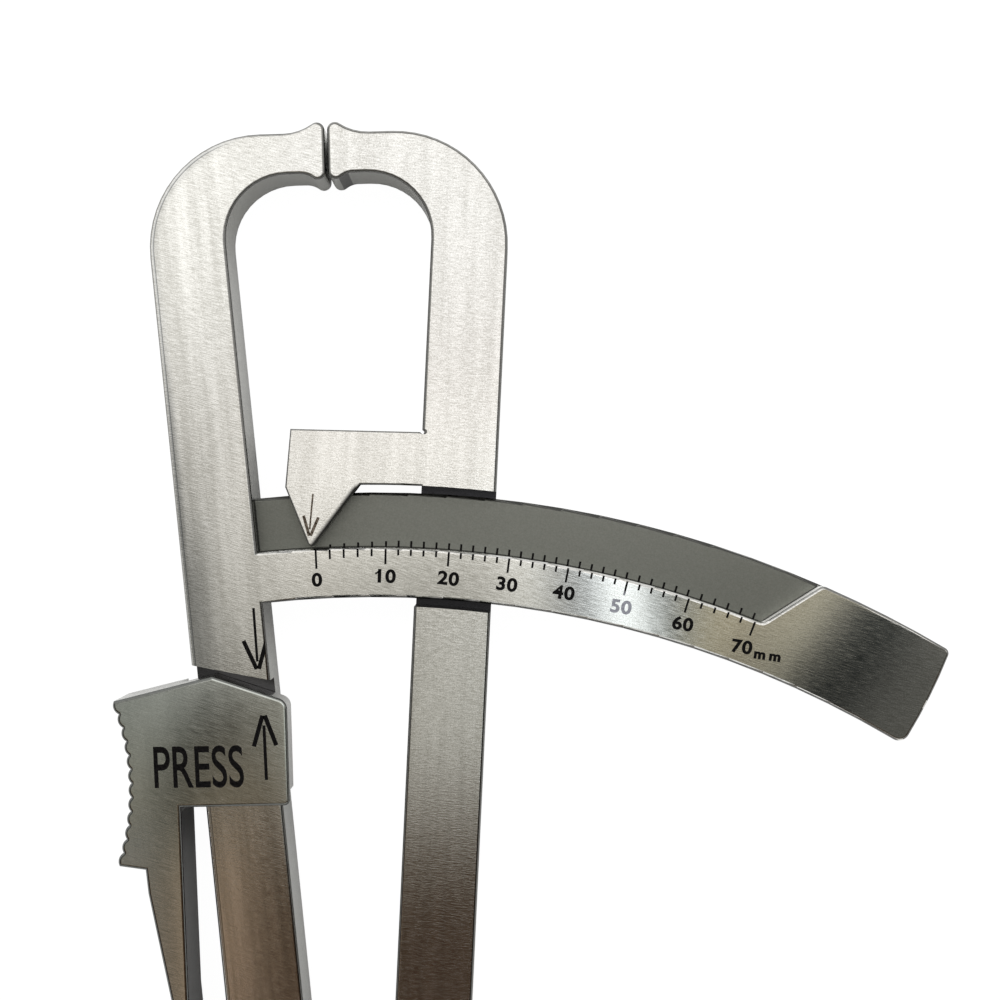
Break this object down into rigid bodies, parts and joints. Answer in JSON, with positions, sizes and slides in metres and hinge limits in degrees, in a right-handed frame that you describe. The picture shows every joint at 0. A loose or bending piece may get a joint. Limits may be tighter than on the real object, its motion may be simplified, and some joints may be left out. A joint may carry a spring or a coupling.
{
  "type": "skinfold caliper",
  "caption": "Steel skinfold caliper: two hooked arms on a friction hinge, a curved scale with a pointer, and a sprung thumb lever that shows the set jaw force.",
  "frame": {"origin": "on the pivot axis, in the plane of the back faces, on the rear face of the pivot nut", "axes": "+Y up the closed tool from the pivot to the jaws, +X to the side of the scale, +Z out of the front"},
  "size_m": [0.0961, 0.1811, 0.0119],
  "materials": {
    "arm_steel": "satin brushed",
    "lever_steel": "satin, bead blasted and brushed",
    "spring_steel": "ground strip",
    "fastener_steel": "turned",
    "bush_bronze": "reamed bearing bronze",
    "washer_polymer": "plain slippery polymer"
  },
  "bodies": {
    "scale_arm": {"left_arm": "arm_steel", "pivot_bolt": "fastener_steel", "pivot_nut": "fastener_steel", "lug_washer": "washer_polymer", "head_washer": "washer_polymer", "disc_spring": "spring_steel", "lever_leaf": "spring_steel", "leaf_clamp_plate": "lever_steel", "leaf_screw_upper": "fastener_steel", "leaf_screw_lower": "fastener_steel"},
    "pointer_arm": {"right_arm": "arm_steel", "pivot_bush": "bush_bronze"},
    "thumb_lever": {"press_lever": "lever_steel", "lever_rivet_upper": "fastener_steel", "lever_rivet_lower": "fastener_steel"}
  },
  "joints": [
    {"name": "main_pivot", "type": "hinge", "parent": "scale_arm", "child": "pointer_arm", "pos_m": [0, 0, 0.00688], "axis": [0, 0, -1], "range_deg": [0, 24]},
    {"name": "lever_flex", "type": "hinge", "parent": "scale_arm", "child": "thumb_lever", "pos_m": [-0.01545, 0.04317, 0.0045], "axis": [0, 0, -1], "range_deg": [-1.6, 1.4], "stiffness_Nm_per_rad": 16.9, "springref_deg": -1.6, "deforming": ["lever_leaf"]}
  ]
}
